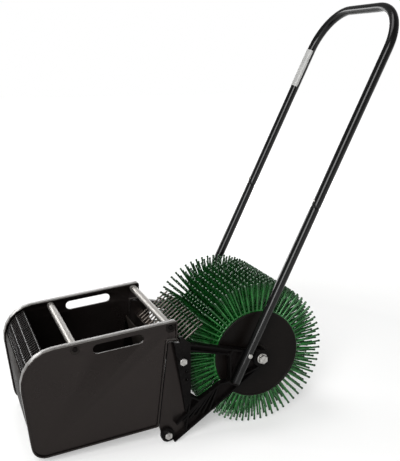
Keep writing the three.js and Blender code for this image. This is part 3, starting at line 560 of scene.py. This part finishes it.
def hexHead(name, flats, thickness):                # a hexagon with its corners turned off and a dished face
    clearSelection()
    corner = flats / math.sqrt(3)
    bpy.ops.mesh.primitive_cylinder_add(vertices=6, radius=corner, depth=thickness,
                                        location=(0, 0, thickness / 2))
    head = bpy.context.object
    head.name = name
    bpy.ops.object.transform_apply(location=True, rotation=True, scale=True)
    openEdit("VERT", "DESELECT")
    bpy.ops.object.mode_set(mode="OBJECT")
    for vertex in head.data.vertices:
        vertex.select = vertex.co.z > thickness / 2
    bpy.ops.object.mode_set(mode="EDIT")
    bpy.ops.mesh.bevel(offset=boltPlan["chamfer"], segments=1, affect="VERTICES")
    openEdit("FACE", "DESELECT")
    bpy.ops.object.mode_set(mode="OBJECT")
    for face in head.data.polygons:
        face.select = face.normal.z > facingUp
    bpy.ops.object.mode_set(mode="EDIT")
    bpy.ops.mesh.inset(thickness=boltPlan["chamfer"])
    bpy.ops.transform.translate(value=(0, 0, boltPlan["dish"]))
    bpy.ops.mesh.inset(thickness=boltPlan["chamfer"] * boltPlan["dishRing"])
    bpy.ops.transform.translate(value=(0, 0, -boltPlan["dish"]))
    bpy.ops.object.mode_set(mode="OBJECT")
    return head


for kind in ("axle", "upper_tie", "lower_tie"):
    low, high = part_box(f"{kind}_bolt")
    radius = boltPlan[kind]
    flats, thickness = high.y - low.y, radius * boltPlan["headShare"]
    seat = high.x - thickness
    head = hexHead(f"{kind}_hex_bolt", flats, thickness - boltPlan["dish"])
    place(head, Matrix.Rotation(math.pi / 6, 4, "Z"))
    place(head, alongX(0, 0, seat))
    pitch, depth = boltPlan["thread"], boltPlan["threadDepth"]
    turns = int(boltPlan["threadLength"] / pitch)
    ridges = [(radius - depth * (k % 2), low.x + pitch * (k + 1) / 2) for k in range(2 * turns)]
    profile = [(radius - 2 * depth, low.x)] + ridges + [(radius, seat + boltPlan["sunk"])]
    shank = turned(f"{kind}_shank", profile, boltPlan["steps"], True)
    place(shank, Matrix.Rotation(math.pi / 2, 4, "Y"))
    choose(head, shank)
    bpy.ops.object.join()
    centre = middle(f"{kind}_bolt")
    place(head, Matrix.Translation((0, centre.y, centre.z)))
    finishPiece(head, "frame", "zinc", f"{kind}_bolt")
    nut = softened(f"{kind}_nut", f"{kind}_hex_nut", boltPlan["nutEase"])
    finishPiece(nut, "frame", "zinc", f"{kind}_nut")
print("frame made")

# Comb.
comb = {"slope": math.radians(38), "lift": 0.0144, "wire": 0.0022, "steps": 10,
        "line": ((-0.0073, 0), (0.060, 0), (0.070, 0), (0.080, -0.0004), (0.0895, -0.0014)),
        "strip": (0.022, 0.0016), "saddleDrop": 0.0022,
        "startShare": 0.6, "startRun": 0.5, "endShare": 0.5, "endRun": 0.4}
tie = middle("upper_spacer")
up = Vector((0, math.cos(comb["slope"]), math.sin(comb["slope"])))
out = Vector((0, -up.z, up.y))


def tineShape(name):                                # drawn along Z, then leaned back by the slope
    points = [Vector((0, -rise, run)) for run, rise in comb["line"]]
    clearSelection()
    bpy.ops.mesh.primitive_circle_add(vertices=comb["steps"], radius=comb["wire"] * comb["startShare"],
                                      location=points[0])
    tine = bpy.context.object
    tine.name = name
    bpy.ops.object.transform_apply(location=True, rotation=True, scale=True)
    openEdit()
    bpy.ops.mesh.extrude_region()
    widen = 1 / comb["startShare"]
    bpy.ops.transform.resize(value=(widen, widen, 1), center_override=points[0])
    bpy.ops.transform.translate(value=(0, 0, comb["wire"] * comb["startRun"]))
    for here, there in zip(points, points[1:]):
        bpy.ops.mesh.extrude_region()
        bpy.ops.transform.translate(value=there - here)
    bpy.ops.mesh.extrude_region()
    end = points[-1] + Vector((0, 0, comb["wire"] * comb["startRun"]))
    bpy.ops.transform.resize(value=(comb["endShare"], comb["endShare"], 1), center_override=end)
    bpy.ops.transform.translate(value=(0, 0, comb["wire"] * comb["endRun"]))
    bpy.ops.object.mode_set(mode="OBJECT")
    closeShape(tine, True)
    return tine


tineTurn = Matrix.Rotation(-(math.pi / 2 - comb["slope"]), 4, "X")
combRoot = tie + out * comb["lift"]
combLow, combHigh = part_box("comb")
firstTine = tineShape("comb_tines")
place(firstTine, tineTurn)
tines = [firstTine] + [copyOf(firstTine, f"tine_{i}") for i in range(2, discCount)]
for i, tine in enumerate(tines):
    place(tine, Matrix.Translation(combRoot + Vector(((i + 1 - discCount / 2) * discPitch, 0, 0))))
clearSelection()
width, thickness = comb["strip"]
bpy.ops.mesh.primitive_cube_add(size=1)
strip = bpy.context.object
strip.name = "comb_strip"
strip.scale = (combHigh.x - combLow.x, thickness, width)
bpy.ops.object.transform_apply(location=True, rotation=True, scale=True)
place(strip, Matrix.Translation(combRoot - out * (comb["wire"] + thickness / 2)) @ tineTurn)
saddle = copyOf(strip, "comb_saddle")
place(saddle, Matrix.Translation(-out * comb["saddleDrop"]))
choose(firstTine, *tines[1:], strip, saddle)
bpy.ops.object.join()
finishPiece(firstTine, "frame", "wire", "comb")
print("comb made")

# Handle.
handle = {"wall": 0.0015, "bend": 0.110, "steps": 40, "bendSteps": 16, "neck": 0.0011, "neckLength": 0.004,
          "neckMiddle": (0.5, 0.4), "band": 0.002, "play": 0.0003, "footEase": (0.0004, 0.0005),
          "seamDrop": (0.0004, 0.0002), "swageShort": 0.004, "swageInside": (0.008, 0.012),
          "rivetEase": 0.0008, "buttonEase": 0.0003, "plugEase": 0.0005, "labelEase": 0.00012}
gripLow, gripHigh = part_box("upper_handle")
seam = upHandle(gripLow.z + tubeRadius * flatShare * math.sin(lean))
grip = upHandle(gripHigh.z - tubeRadius * flatShare)
lowerTop = upHandle(footHigh.z)


def lowerTube(name):
    outer, inner = tubeRadius, tubeRadius - handle["wall"]
    swage = outer - handle["wall"] - handle["play"]
    core = swage - handle["wall"]
    neck, run, band = handle["neck"], handle["neckLength"], handle["band"]
    (easeIn, easeUp), (midNeck, midRun) = handle["footEase"], handle["neckMiddle"]
    (neckDrop, swageDrop), (coreDrop, wallDrop) = handle["seamDrop"], handle["swageInside"]
    swageTop = lowerTop - handle["swageShort"]
    profile = [(inner, 0.0), (outer - easeIn, 0.0), (outer, easeUp), (outer, band),
               (outer, seam - run - band), (outer, seam - run), (outer - neck * midNeck, seam - run * midRun),
               (outer - neck, seam - neckDrop), (swage, seam - swageDrop), (swage, swageTop),
               (core, swageTop), (core, seam - coreDrop), (inner, seam - wallDrop)]
    return turned(name, profile + profile[:1], handle["steps"])


def upperTube(name):
    radius, bend = tubeRadius, handle["bend"]
    top = grip - bend
    necked = 1 - handle["neck"] / radius
    run, band = handle["neckLength"], handle["band"]
    quarter = -math.pi / 2
    clearSelection()
    bpy.ops.mesh.primitive_circle_add(vertices=handle["steps"], radius=radius, location=(-legX, 0, seam))
    tube = bpy.context.object
    tube.name = name
    bpy.ops.object.transform_apply(location=True, rotation=True, scale=True)
    openEdit()
    bpy.ops.transform.resize(value=(necked, necked, 1), center_override=(-legX, 0, seam))
    bpy.ops.mesh.extrude_region()
    bpy.ops.transform.resize(value=(1 / necked, 1 / necked, 1), center_override=(-legX, 0, seam))
    bpy.ops.transform.translate(value=(0, 0, run))
    for rise in (band, top - seam - run - band):
        bpy.ops.mesh.extrude_region()
        bpy.ops.transform.translate(value=(0, 0, rise))
    bpy.ops.mesh.spin(steps=handle["bendSteps"], angle=quarter, center=(bend - legX, 0, top), axis=(0, 1, 0))
    bpy.ops.mesh.extrude_region()
    bpy.ops.transform.translate(value=(2 * (legX - bend), 0, 0))
    bpy.ops.mesh.spin(steps=handle["bendSteps"], angle=quarter, center=(legX - bend, 0, top), axis=(0, 1, 0))
    for rise in (seam + run + band - top, -band):
        bpy.ops.mesh.extrude_region()
        bpy.ops.transform.translate(value=(0, 0, rise))
    bpy.ops.mesh.extrude_region()
    bpy.ops.transform.resize(value=(necked, necked, 1), center_override=(legX, 0, seam + run))
    bpy.ops.transform.translate(value=(0, 0, -run))
    bpy.ops.object.mode_set(mode="OBJECT")
    closeShape(tube)
    wall = tube.modifiers.new("wall", "SOLIDIFY")
    wall.thickness = handle["wall"]
    wall.offset = -1
    bpy.ops.object.modifier_apply(modifier=wall.name)
    return tube


for word, side in sides:
    tube = lowerTube(f"lower_tube_{word}")
    place(tube, alongHandle(side * legX))
    finishPiece(tube, "frame", "tube", f"lower_handle_{word}")
    pin = softened(f"handle_pin_{word}", f"tube_rivet_{word}", handle["rivetEase"])
    finishPiece(pin, "frame", "zinc", f"handle_pin_{word}")
    button = softened(f"snap_button_{word}", f"button_dome_{word}", handle["buttonEase"])
    finishPiece(button, f"snap_{word}", "zinc", f"snap_button_{word}", angle=50)
    paintNode(f"snap_spring_{word}", "zinc")
    plug = softened(f"handle_plug_{word}", f"tube_plug_{word}", handle["plugEase"])
    finishPiece(plug, "frame", "bracket", f"handle_plug_{word}")
uTube = upperTube("u_handle")
place(uTube, alongHandle(0))
finishPiece(uTube, "frame", "tube", "upper_handle")
label = softened("handle_label", "blank_label", handle["labelEase"], 1)
finishPiece(label, "frame", "label", "handle_label")
print("handle made")

# Floor, light and camera.
studio = {"floor": (0.60, 0.60, 0.595), "glowNear": 0.33, "glowFar": 0.95, "fadeFrom": 0.9, "fadeTo": 3.2,
          "floorSize": 30, "floorRough": 0.9, "floorSpecular": 0.1,
          "skyLow": 0.40, "skyHigh": 0.18, "skyFrom": 0.3, "skyTo": 0.9,
          "lights": {
              "overhead": {"at": (-0.3, -0.6, 3.4), "size": (1.6, 1.6), "power": 40},
              "near_side": {"at": (2.75, -1.75, 1.9), "size": (1.5, 2.8), "power": 170},
              "far_card": {"at": (-3.3, 0.5, 0.85), "size": (3.8, 1.2), "power": 46},
              "far_front": {"at": (-2.8, -1.5, 1.15), "size": (1.2, 0.9), "power": 32}},
          "camera": (1.6014, -0.6079, 0.8631), "azimuth": 68.95, "elevation": 13.37,
          "lens": 56.32, "sensor": 36}

clearSelection()
bpy.ops.mesh.primitive_plane_add(size=studio["floorSize"], location=(0, 0, 0))
floor = bpy.context.object
floor.name = "studio_floor"
floorPaint = bpy.data.materials.new("pale_floor")
floorPaint.use_nodes = True
floorShader = floorPaint.node_tree.nodes["Principled BSDF"]
floorShader.inputs["Base Color"].default_value = (*studio["floor"], 1)
floorShader.inputs["Roughness"].default_value = studio["floorRough"]
floorShader.inputs["Specular IOR Level"].default_value = studio["floorSpecular"]
floorShader.inputs["Emission Color"].default_value = (1, 1, 1, 1)

# The floor whitens with its distance from the object, so that no horizon shows.
distance = node(floorPaint.node_tree, "VectorMath", operation="LENGTH")
floorPlace = node(floorPaint.node_tree, "TexCoord").outputs["Object"]
floorPaint.node_tree.links.new(floorPlace, distance.inputs[0])
glow = spread(floorPaint.node_tree, distance.outputs["Value"], studio["fadeFrom"], studio["fadeTo"],
              studio["glowNear"], studio["glowFar"])
floorPaint.node_tree.links.new(glow, floorShader.inputs["Emission Strength"])
floor.data.materials.append(floorPaint)

# The sky is white to the camera and greyer in reflections.
world = bpy.data.worlds.new("studio")
bpy.context.scene.world = world
world.use_nodes = True
sky = world.node_tree
background = sky.nodes["Background"]
background.inputs["Color"].default_value = (1, 1, 1, 1)
split = node(sky, "SeparateXYZ")
sky.links.new(node(sky, "TexCoord").outputs["Generated"], split.inputs["Vector"])
height = spread(sky, split.outputs["Z"], studio["skyFrom"], studio["skyTo"],
                studio["skyLow"], studio["skyHigh"])
brightest = node(sky, "Math", operation="MAXIMUM")
sky.links.new(height, brightest.inputs[0])
sky.links.new(node(sky, "LightPath").outputs["Is Camera Ray"], brightest.inputs[1])
sky.links.new(brightest.outputs[0], background.inputs["Strength"])

target = (cadBounds[0] + cadBounds[1]) / 2
for name, plan in studio["lights"].items():
    data = bpy.data.lights.new(name, "AREA")
    data.shape = "RECTANGLE"
    data.size, data.size_y = plan["size"]
    data.energy = plan["power"]
    lamp = bpy.data.objects.new(name, data)
    lamp.location = plan["at"]
    lamp.rotation_euler = (target - lamp.location).to_track_quat("-Z", "Y").to_euler()
    lamp.visible_camera = False
    bpy.context.scene.collection.objects.link(lamp)

cameraData = bpy.data.cameras.new("camera")
cameraData.lens = studio["lens"]
cameraData.sensor_width = studio["sensor"]
camera = bpy.data.objects.new("camera", cameraData)
camera.location = studio["camera"]
camera.rotation_euler = (math.radians(90 - studio["elevation"]), 0, math.radians(studio["azimuth"]))
bpy.context.scene.collection.objects.link(camera)
bpy.context.scene.camera = camera
bpy.context.scene.view_settings.view_transform = "Standard"
print("studio ready")
